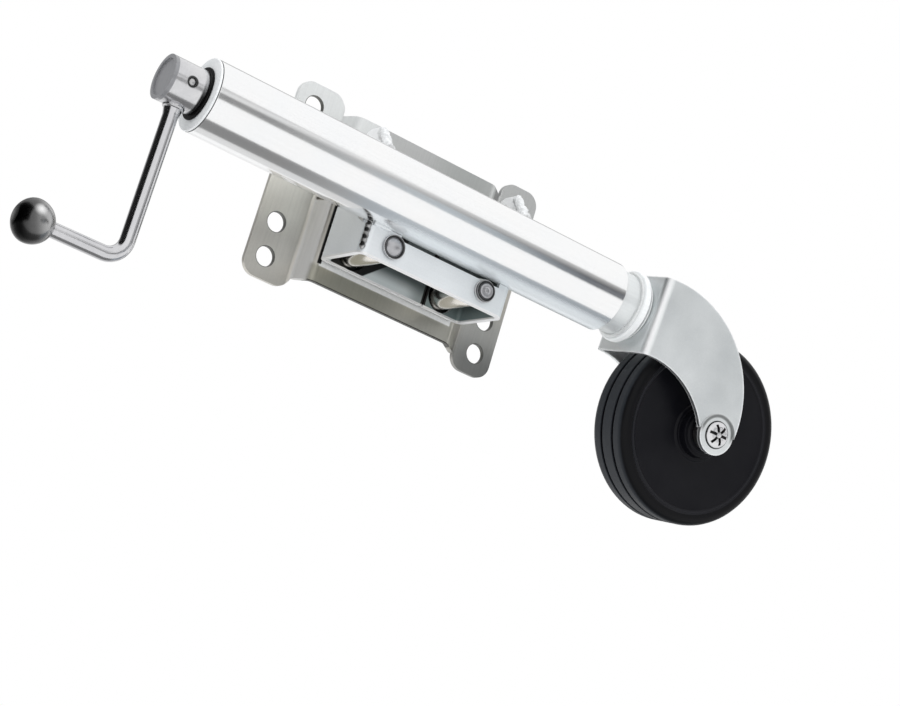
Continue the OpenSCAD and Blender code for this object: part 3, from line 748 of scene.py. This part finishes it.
# Its wide, bright, almost matt edges are a painted edge highlight
plated_metal("fork_zinc", (0.96, 0.99, 0.995), (0.84, 0.87, 0.875), PRESSED, (0.36, 0.48), edge=BRIGHT,
             edge_width=0.0022, edge_metal=0.2, bump_strength=0.03, stains_and_painted_light=fork_painted_light(), streaky=0.3)
plated_metal("pin_zinc", 0.66, (0.48, 0.48, 0.49), TURNED, (0.24, 0.40))
plated_metal("star_zinc", (0.84, 0.84, 0.85), (0.66, 0.66, 0.68), TURNED, (0.20, 0.34), stains_and_painted_light=star_slot_painted_shade())
plated_metal("head_zinc", (0.56, 0.56, 0.58), (0.38, 0.38, 0.40), TURNED, (0.24, 0.40), stains_and_painted_light=head_ring_painted_shade())
plated_metal("sleeve_zinc", (0.95, 0.92, 0.86), (0.84, 0.80, 0.74), ALONG_Y, (0.14, 0.22))
plated_metal("crank_zinc", (0.76, 0.76, 0.77), (0.66, 0.66, 0.68), ALONG_Z, (0.14, 0.24),
             edge=(0.50, 0.50, 0.51), bump_strength=0.03, stains_and_painted_light=crank_painted_shade())
plated_metal("knob_steel", 0.14, 0.11, BALL, (0.20, 0.28), bump_strength=0.03, stains_and_painted_light=knob_painted_reflection())
plated_metal("weld_zinc", (0.84, 0.85, 0.86), (0.50, 0.51, 0.52), WELDED, (0.32, 0.52), patch=180)
# Dark and blotchy: painted shade on the corner weld
plated_metal("weld_dark", 0.62, 0.20, WELDED, (0.32, 0.52), edge=0.62, stains_and_painted_light=weld_painted_shade(), patch=300)
# Matt near-white: a painted highlight on the crown welds
plated_metal("weld_pale", 0.97, (0.66, 0.67, 0.67), WELDED, (0.32, 0.52), edge=BRIGHT, metal=0.0, patch=420)
plated_metal("screw_steel", (0.45, 0.45, 0.46), (0.34, 0.33, 0.32), ALONG_X, (0.26, 0.40))
plated_metal("spring_steel", (0.38, 0.38, 0.40), (0.24, 0.24, 0.25), ALONG_Y, (0.30, 0.45))
plated_metal("nut_bronze", (0.78, 0.58, 0.30), (0.60, 0.42, 0.20), ALONG_X, (0.28, 0.42),
             edge=(0.86, 0.68, 0.40))
moulded("bush_plastic", (0.80, 0.79, 0.74), (0.70, 0.69, 0.64), (0.40, 0.55))
moulded("seal_rubber", 0.006, 0.003, (0.40, 0.52), level=0.15)
moulded("wheel_rubber", (0.006, 0.006, 0.008), (0.003, 0.003, 0.005), (0.30, 0.42), level=0.14,
        stains_and_painted_light=wheel_tones_and_painted_sheen())


def dress(piece, finish, body, stands_for=()):
    """Gives a new piece its material and its body, and hides the CAD nodes that it stands for."""
    piece.data.materials.clear()
    piece.data.materials.append(finishes[finish])
    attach(piece, body)
    if stands_for:
        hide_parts(*stands_for)


# Plates, tubes, rods and collars: CAD copies with rounded edges

# CAD node, name, width of the rounding, finish, body and slot
EASED = [
    ("mounting_bracket", "bracket_plate", 0.0009, "plate_zinc", "bracket", "plate_zinc"),
    ("swing_carrier", "carrier_plate", 0.0009, "carrier_zinc", "swing", "tube_zinc"),
    ("pivot_sleeve", "pivot_bush_tube", 0.0006, "sleeve_zinc", "swing", "sleeve_zinc"),
    ("lock_sleeve", "lock_guide_tube", 0.0006, "sleeve_zinc", "swing", "sleeve_zinc"),
    ("outer_tube", "jack_tube", 0.0007, "tube_zinc", "swing", "tube_zinc"),
    ("tube_cap", "tube_end_cap", 0.0009, "collar_zinc", "swing", "tube_zinc"),
    ("crank_hub", "crank_boss", 0.0006, "crank_zinc", "crank", "crank_zinc"),
    ("crank_arm", "crank_rod", 0.0012, "crank_zinc", "crank", "crank_zinc"),
    ("inner_tube", "leg_tube", 0.0006, "leg_zinc", "leg", "tube_zinc"),
    ("swivel_flange", "leg_flange", 0.0016, "collar_zinc", "leg", "tube_zinc"),
    ("yoke", "caster_fork", 0.0011, "fork_zinc", "caster", "fork_zinc"),
    ("axle_spacers", "axle_collars", 0.0006, "screw_steel", "caster", "screw_steel"),
]
for node, name, width, finish, body, slot in EASED:
    dress(eased_copy(node, name, width), finish, body, [node])


# Caster wheel

def make_wheel():
    tread_half = 0.022
    hub_half = 0.030
    bore_r = 0.00955
    hub_r = 0.020
    web_r = 0.045
    shoulder_r = 0.007
    ring_r = 0.065
    dish = 0.0205
    lip = 0.0012
    groove_in, groove_out = 0.006, 0.009
    groove_deep, groove_slope = 0.003, 0.0004
    side = [(hub_half, bore_r), (hub_half, hub_r - 0.004), (hub_half - lip, hub_r - 0.003),
            (hub_half - lip, hub_r), (dish + lip, hub_r + 0.001), (dish + lip, hub_r + 0.0032),
            (dish, hub_r + 0.0044), (dish - 0.0006, web_r), (dish, ring_r - 0.002),
            (tread_half - 0.0004, ring_r - 0.001), (tread_half - 0.0004, ring_r),
            (tread_half - 0.0010, ring_r + 0.0006), (tread_half, ring_r + 0.002)]
    side += arc_points((tread_half - shoulder_r, TYRE_R - shoulder_r), shoulder_r, 0, 90, 8)
    side += [(groove_out, TYRE_R), (groove_out - groove_slope, TYRE_R - groove_deep),
             (groove_in + groove_slope, TYRE_R - groove_deep), (groove_in, TYRE_R)]
    outline = side + [(-along, radius) for along, radius in reversed(side)] + side[:1]
    wheel = turned_piece("caster_wheel", outline, facing(AXLE_DIR, AXLE), width=0.0007, steps=96)
    dress(wheel, "wheel_rubber", "wheel", stands_for=["wheel"])


make_wheel()


# Star caps pressed on the axle's ends

def make_axle_caps():
    cap_r = 0.0105
    cap_h = 0.0035
    rim_h = 0.0012
    pad_half = 0.044
    slot_deep = 0.0028
    outline = [(0, cap_r), (rim_h, cap_r), (cap_h - 0.0008, cap_r - 0.0028), (cap_h, cap_r - 0.0045),
               (cap_h, 0), (0, 0), (0, cap_r)]
    for side, end in ((-1, "near"), (1, "far")):
        seat = facing(AXLE_DIR * side, AXLE + AXLE_DIR * side * pad_half)
        cap = turned_piece("axle_cap_" + end, outline, seat, width=0.0004, steps=48)
        for number in range(STAR_ARMS):
            bpy.ops.mesh.primitive_cube_add(size=1)
            slot = bpy.context.active_object
            turn = Matrix.Rotation(FULL_TURN * number / STAR_ARMS, 4, "X")
            middle = Matrix.Translation((cap_h, (STAR_IN + STAR_OUT) / 2, 0))
            size = Matrix.Diagonal((slot_deep, STAR_OUT - STAR_IN, STAR_W, 1))
            place(slot, seat @ turn @ middle @ size)
            cut(cap, slot)
        soften(cap, width=0.0002, segments=2)
        dress(cap, "star_zinc", "caster", ["axle_caps"])


make_axle_caps()


# Ball of the crank

def make_knob():
    low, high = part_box("crank_knob")
    ball_r = (high.z - low.z) / 2
    centre = Vector((high.x - ball_r, TUBE_MID.y, (high.z + low.z) / 2))
    flat_r = 0.006
    free_end_share = 0.87
    flat_deg = 180 - math.degrees(math.asin(flat_r / ball_r))
    rod_deg = math.degrees(math.asin(ROD_R / ball_r))
    ball = [(along if along > 0 else along * free_end_share, radius)
            for along, radius in arc_points((0, 0), ball_r, rod_deg, flat_deg, 28)]
    outline = [(0, 0), (0, ROD_R)] + ball + [(ball[-1][0], 0)]
    knob = turned_piece("crank_ball", outline, facing(X_AXIS, centre), width=0.0006, steps=64)
    dress(knob, "knob_steel", "crank", stands_for=["crank_knob"])


make_knob()


# Rubber ring between the tube's cap and the crank's hub

def make_seal():
    low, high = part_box("hub_seal")
    seal_r = (high.z - low.z) / 2 - 0.0010
    bore_r = 0.00805
    thick = high.x - low.x
    outline = [(0, bore_r), (0, seal_r - 0.0010), (thick * 0.2, seal_r), (thick * 0.4, seal_r),
               (thick * 0.5, seal_r - 0.0008), (thick * 0.6, seal_r), (thick * 0.85, seal_r),
               (thick, seal_r - 0.0008), (thick, bore_r), (0, bore_r)]
    seat = facing(X_AXIS, Vector((low.x, TUBE_MID.y, TUBE_MID.z)))
    seal = turned_piece("crank_seal", outline, seat, width=0.0002)
    dress(seal, "seal_rubber", "swing", stands_for=["hub_seal"])


make_seal()


# Pin through the crank's hub, with rounded ends

def make_hub_pin():
    low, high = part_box("hub_pin")
    length = high.y - low.y
    dome = [(0, 0), (0.0001, HUB_PIN_R * 0.4), (0.0004, HUB_PIN_R * 0.75), (0.0010, HUB_PIN_R)]
    outline = dome + [(length - along, radius) for along, radius in reversed(dome)]
    seat = facing(Y_AXIS, Vector((HUB_PIN.x, low.y, HUB_PIN.z)))
    pin = turned_piece("crank_pin", outline, seat, width=0.0002, steps=32)
    dress(pin, "pin_zinc", "crank", stands_for=["hub_pin"])


make_hub_pin()


# Pivot rivet, its washer and the lock pin

def make_pivot():
    low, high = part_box("pivot_pin")
    shank_r = 0.0065
    head_r = (high.x - low.x) / 2
    head_h = 0.003
    length = high.y - low.y
    rings = [(0.0004, 0), (0.0004, 0.0012), (0.0008, 0.0016), (0.0008, 0.0024), (0.0002, 0.0030),
             (0.0002, 0.0046), (0.0006, 0.0056), (0.0020, 0.0062), (0.0020, 0.0074)]
    riveted_end = [(0.0012, head_r - 0.001), (head_h - 0.0004, head_r - 0.001), (head_h, shank_r)]
    back_head = [(length - head_h, shank_r), (length - head_h, head_r), (length - 0.0006, head_r),
                 (length, head_r - 0.0008), (length, 0)]
    seat = facing(Y_AXIS, Vector((PIVOT.x, low.y, PIVOT.z)))
    rivet = turned_piece("pivot_rivet", rings + riveted_end + back_head, seat, width=0.0002)
    dress(rivet, "head_zinc", "bracket", ["pivot_pin"])
    washer = eased_copy("pivot_washer", "pivot_plate_washer", 0.0004)
    dress(washer, "pin_zinc", "bracket", stands_for=["pivot_washer"])


def make_lock_pin():
    low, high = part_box("lock_pin")
    head_r = (high.x - low.x) / 2
    head_h = 0.006
    dome_h = 0.0032
    dome_r = 0.0071
    groove_r = 0.0088
    shank_r = 0.006
    length = high.y - low.y
    ball_r = (dome_h ** 2 + dome_r ** 2) / (2 * dome_h)
    rim_deg = math.degrees(math.asin(dome_r / ball_r))
    top = 0.0012
    dome = [(top + ball_r - x, y) for x, y in arc_points((0, 0), ball_r, 0, rim_deg, 14)]
    outline = dome + [(head_h - 0.0008, dome_r), (head_h - 0.0008, groove_r), (head_h - 0.0022, groove_r),
                      (head_h - 0.0022, head_r - 0.0002), (head_h - 0.0004, head_r), (head_h, shank_r),
                      (length - 0.0015, shank_r), (length, shank_r - 0.0015), (length, 0)]
    seat = facing(Y_AXIS, Vector((LOCK.x, low.y, LOCK.z)))
    pin = turned_piece("lock_plunger", outline, seat, width=0.0002)
    dress(pin, "head_zinc", "lock", ["lock_pin"])


make_pivot()
make_lock_pin()


# Coil of the lock spring

def make_spring():
    low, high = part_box("lock_spring")
    turns = 10
    wire_r = 0.0006
    coil_r = (high.x - low.x) / 2 - wire_r
    length = high.y - low.y
    rise = length - 2 * wire_r
    start_clean()
    bpy.ops.mesh.primitive_circle_add(vertices=10, radius=wire_r)
    spring = bpy.context.active_object
    spring.name = "lock_coil"
    edit(spring)
    bpy.ops.transform.rotate(value=math.pi / 2, orient_axis="X", center_override=(0, 0, 0))
    bpy.ops.transform.translate(value=(coil_r, 0, 0))
    apply_modifier(spring, "SCREW", axis="Z", angle=FULL_TURN, screw_offset=rise / turns, iterations=turns,
                   steps=28, render_steps=28, use_smooth_shade=True)
    edit(spring)
    pick(spring, "edges", lambda edge: edge.is_boundary)
    bpy.ops.mesh.edge_face_add()
    close_up(spring)
    seat = Vector((LOCK.x, low.y + wire_r, LOCK.z))
    place(spring, Matrix.LocRotScale(seat, Y_AXIS.to_track_quat("Z", "X"), None))
    smooth(spring)
    dress(spring, "spring_steel", "swing", stands_for=["lock_spring"])
    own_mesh(spring)


make_spring()


# Races of the swivel bearing, with a dark gap between them

def make_swivel_races():
    low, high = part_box("swivel_bearing")
    race_r = (high.z - low.z) / 2
    bore_r = 0.00805
    thick = high.x - low.x
    gap_start, gap_end = thick / 2 - 0.0007, thick / 2 + 0.0007
    gap_r = race_r - 0.003
    edge_r = race_r - 0.0016
    slope = 0.0012
    outline = [(0, bore_r), (0, edge_r), (slope, race_r), (gap_start, race_r), (gap_start, gap_r),
               (gap_end, gap_r), (gap_end, race_r), (thick - slope, race_r), (thick, edge_r),
               (thick, bore_r), (0, bore_r)]
    seat = facing(X_AXIS, Vector((low.x, TUBE_MID.y, TUBE_MID.z)))
    races = turned_piece("swivel_races", outline, seat, width=0.0003)
    dress(races, "collar_zinc", "leg", ["swivel_bearing"])


make_swivel_races()


# Welds

def weld_carrier():
    """Beads on the front plate's top edge and corner, round the tube at both end walls, and on their tops."""
    front = CARRIER_LO.y
    seam_y = front - 0.0003
    seam = weld_bead("seam_weld", (CARRIER_LO.x + 0.004, seam_y, SEAM_Z),
                     (CARRIER_LO.x + 0.0200, seam_y, SEAM_Z), radius=0.0018, ripples=6)
    dress(seam, "carrier_zinc", "swing")
    corner_end = CORNER_WELD - Z_AXIS * CORNER_WELD_LEN
    corner = weld_bead("corner_weld", CORNER_WELD, corner_end, radius=0.0024, ripples=5)
    roughen(corner, 0.0014, 0.0022)
    dress(corner, "weld_dark", "swing")
    for side, x in (("lock", CARRIER_LO.x), ("pivot", CARRIER_HI.x)):
        centre = Vector((x, TUBE_MID.y, TUBE_MID.z))
        arc = weld_ring("wall_weld_" + side, centre, X_AXIS, TUBE_R + 0.0004, 0.0018, start_deg=42,
                        sweep_deg=116)
        dress(arc, "weld_zinc", "swing")
    for side, x in (("lock", CARRIER_LO.x), ("pivot", CARRIER_HI.x - PLATE_T)):
        start = (x, front + 0.004, TUBE_R + 0.001)
        end = (x, front + 0.026, 0.050)
        crown = weld_bead("crown_weld_" + side, start, end, radius=0.0042, ripples=5)
        roughen(crown, 0.0036, 0.0040)
        # The crown welds' white is a painted highlight
        dress(crown, "weld_pale", "swing")


def weld_leg():
    """A bead round the leg where it meets the flange."""
    centre = Vector((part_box("inner_tube")[1].x - 0.0004, TUBE_MID.y, TUBE_MID.z))
    leg_r = radius_of("inner_tube", "z")
    neck = weld_ring("leg_weld", centre, X_AXIS, leg_r + 0.0004, 0.0022, lumps=0.2)
    dress(neck, "leg_zinc", "leg")


def weld_crank():
    """A bead round the rod where it leaves the hub."""
    centre = Vector((ARM_X, TUBE_MID.y, HUB_LO.z + 0.0002))
    root = weld_ring("arm_weld", centre, Z_AXIS, ROD_R + 0.0004, 0.0022, lumps=0.25)
    dress(root, "crank_zinc", "crank")


weld_carrier()
weld_leg()
weld_crank()


# CAD pieces that keep their shape and get a finish

PLAIN = {
    "spring_seat": "screw_steel", "thrust_bearing": "screw_steel", "guide_bush": "bush_plastic",
    "lead_screw": "screw_steel", "lead_nut": "nut_bronze", "stem_plug": "screw_steel", "kingpin": "pin_zinc",
    "axle_rod": "pin_zinc", "wheel_bush": "pin_zinc",
}
for node, finish in PLAIN.items():
    for material_slot in frame["nodes"][node].material_slots:
        material_slot.material = finishes[finish]


# Studio: pale floor, soft lamps and reflection cards

def add_floor():
    wheel_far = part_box("wheel")[1].x
    floor_z = PIVOT.z - (wheel_far - PIVOT.x) - LEG_TRAVEL
    start_clean()
    bpy.ops.mesh.primitive_plane_add(size=16, location=(0, 0, floor_z))
    floor = bpy.context.active_object
    floor.name = "floor"
    material, tree, shader = new_material("floor_pale")
    tone = ramp(tree, noise(tree, EVEN, 3, 2), [(0.3, 0.84), (0.7, 0.87)])
    tree.links.new(tone, shader.inputs["Base Color"])
    shader.inputs["Roughness"].default_value = 0.8
    glow = add_node(tree, "Emission", Color=(1, 1, 1, 1), Strength=1.0)
    path = add_node(tree, "LightPath")
    either = add_node(tree, "MixShader")
    tree.links.new(path.outputs["Is Glossy Ray"], either.inputs["Fac"])
    tree.links.new(shader.outputs[0], either.inputs[1])
    tree.links.new(glow.outputs[0], either.inputs[2])
    tree.links.new(either.outputs[0], tree.nodes["Material Output"].inputs["Surface"])
    floor.data.materials.append(material)


def add_card(name, centre, target, size, along, shades):
    """A card beside the set that only reflections see, as a studio uses to shape bright metal.

    Its shade changes along a direction: shades are (metres, colour or grey)."""
    start_clean()
    bpy.ops.mesh.primitive_plane_add(size=1)
    card = bpy.context.active_object
    card.name = name
    turn = (Vector(target) - Vector(centre)).to_track_quat("Z", "Y")
    place(card, Matrix.LocRotScale(Vector(centre), turn, Vector((size[0], size[1], 1))))
    material, tree, shader = new_material(name + "_paper")
    shader.inputs["Base Color"].default_value = (0, 0, 0, 1)
    shader.inputs["Specular IOR Level"].default_value = 0
    reach = vector_math(tree, "DOT_PRODUCT", own_place(tree), along)["Value"]
    first, last = shades[0][0], shades[-1][0]
    share = add_node(tree, "MapRange")
    share.inputs["From Min"].default_value = first
    share.inputs["From Max"].default_value = last
    tree.links.new(reach, share.inputs["Value"])
    stops = [((where - first) / (last - first), tone) for where, tone in shades]
    glow = ramp(tree, share.outputs["Result"], stops)
    tree.links.new(glow, shader.inputs["Emission Color"])
    shader.inputs["Emission Strength"].default_value = 1
    card.data.materials.append(material)
    card.visible_camera = False
    card.visible_diffuse = False
    card.visible_shadow = False
    card.visible_transmission = False


def cool(grey):
    """A grey with a little blue, as shaded zinc has."""
    return (grey * 0.91, grey * 0.98 + 0.005, grey * 1.02 + 0.02)


def add_lamp(name, location, target, size, power):
    data = bpy.data.lights.new(name, "AREA")
    data.shape = "RECTANGLE"
    data.size, data.size_y = size
    data.energy = power
    lamp = bpy.data.objects.new(name, data)
    bpy.context.scene.collection.objects.link(lamp)
    turn = (Vector(target) - Vector(location)).to_track_quat("-Z", "Y")
    lamp.matrix_world = Matrix.LocRotScale(Vector(location), turn, None)
    lamp.visible_glossy = False


def add_world():
    """White for the camera, reflections and see-through pieces, and a slightly blue fill for other light."""
    world = bpy.data.worlds.new("studio")
    bpy.context.scene.world = world
    world.use_nodes = True
    tree = world.node_tree
    tree.nodes.clear()
    path = add_node(tree, "LightPath").outputs
    seen = math_node(tree, "MAXIMUM", path["Is Camera Ray"], path["Is Glossy Ray"])
    seen = math_node(tree, "MAXIMUM", seen, path["Is Transmission Ray"])
    white = add_node(tree, "Background", Color=(1, 1, 1, 1), Strength=1.0)
    fill = add_node(tree, "Background", Color=(0.96, 0.98, 1, 1), Strength=1.0)
    sky = add_node(tree, "MixShader")
    out = add_node(tree, "OutputWorld")
    tree.links.new(seen, sky.inputs["Fac"])
    tree.links.new(fill.outputs[0], sky.inputs[1])
    tree.links.new(white.outputs[0], sky.inputs[2])
    tree.links.new(sky.outputs[0], out.inputs["Surface"])


add_floor()
add_world()

CENTRE = (0.02, -0.08, -0.03)
add_lamp("key_lamp", (-0.7, -1.1, 1.3), CENTRE, (1.4, 0.9), 8)
add_lamp("fill_lamp", (1.4, -1.3, 0.5), CENTRE, (1.0, 1.0), 4)
add_lamp("back_lamp", (0.2, 1.4, 1.1), CENTRE, (1.4, 0.8), 4)

# Cards in front, below, behind and on the left
FRONT_X, FRONT_Y = 1.675, -1.55
BELOW_X = 0.6
ON_TUBE_AXIS = (BELOW_X, -0.088, 0)
BACK_X, BACK_Y = 1.1, 1.6
FAR_LEFT = -1.25
add_card("stripe_card", (FRONT_X, FRONT_Y, 0.08), (FRONT_X, 0, 0.08), (2.85, 0.44), X_AXIS,
         ((0.35, 0.16), (0.55, 0.46), (0.68, cool(0.58)), (0.80, cool(0.52)), (0.88, cool(0.34)),
          (0.96, cool(0.14)), (1.02, cool(0)), (1.12, cool(0)), (1.20, 0.97)))
add_card("front_card", (FRONT_X, FRONT_Y, 0.545), (FRONT_X, 0, 0.545), (2.85, 0.49), (1, 0, -1.2),
         ((-1.20, 0.40), (-0.45, 0.45), (-0.20, 0.85), (0.10, 0.52), (0.35, 0.42), (0.60, 0.15)))
add_card("low_card", (BELOW_X, -0.061, -0.519), ON_TUBE_AXIS, (5.0, 0.36), X_AXIS,
         ((0.06, 0.25), (0.12, 0.35), (0.18, cool(0.46)), (0.24, cool(0.52)), (0.32, cool(0.44)),
          (0.42, cool(0.38))))
add_card("low_far_card", (BELOW_X, 0.218, -0.42), ON_TUBE_AXIS, (5.0, 0.26), X_AXIS,
         ((0.0, 0.75), (0.4, 0.62)))
add_card("back_card", (BACK_X, BACK_Y, 1.05), (BACK_X, 0, 1.05), (4.0, 1.4), Z_AXIS,
         ((0.3, 0.45), (1.8, 0.60)))
add_card("back_low_card", (BACK_X, BACK_Y, -0.1), (BACK_X, 0, -0.1), (4.0, 0.9), X_AXIS,
         ((0.80, 0.90), (0.95, 0.60), (1.03, 0.26)))
add_card("left_card", (FAR_LEFT, 0.15, 0.5), (0, 0.15, 0.5), (2.2, 1.9), Y_AXIS, ((-0.8, 0.01), (1.1, 0.03)))
add_card("left_far_card", (FAR_LEFT, 2.1, 0.5), (0, 2.1, 0.5), (2.2, 2.0), Y_AXIS, ((1.1, 0.22), (3.1, 0.42)))
add_card("left_floor_card", (-1.6, 0.25, -0.6), (-1.6, 0.25, 0), (1.8, 1.7), Y_AXIS,
         ((-0.6, 0.01), (1.1, 0.03)))

bpy.context.scene.view_settings.view_transform = "Standard"
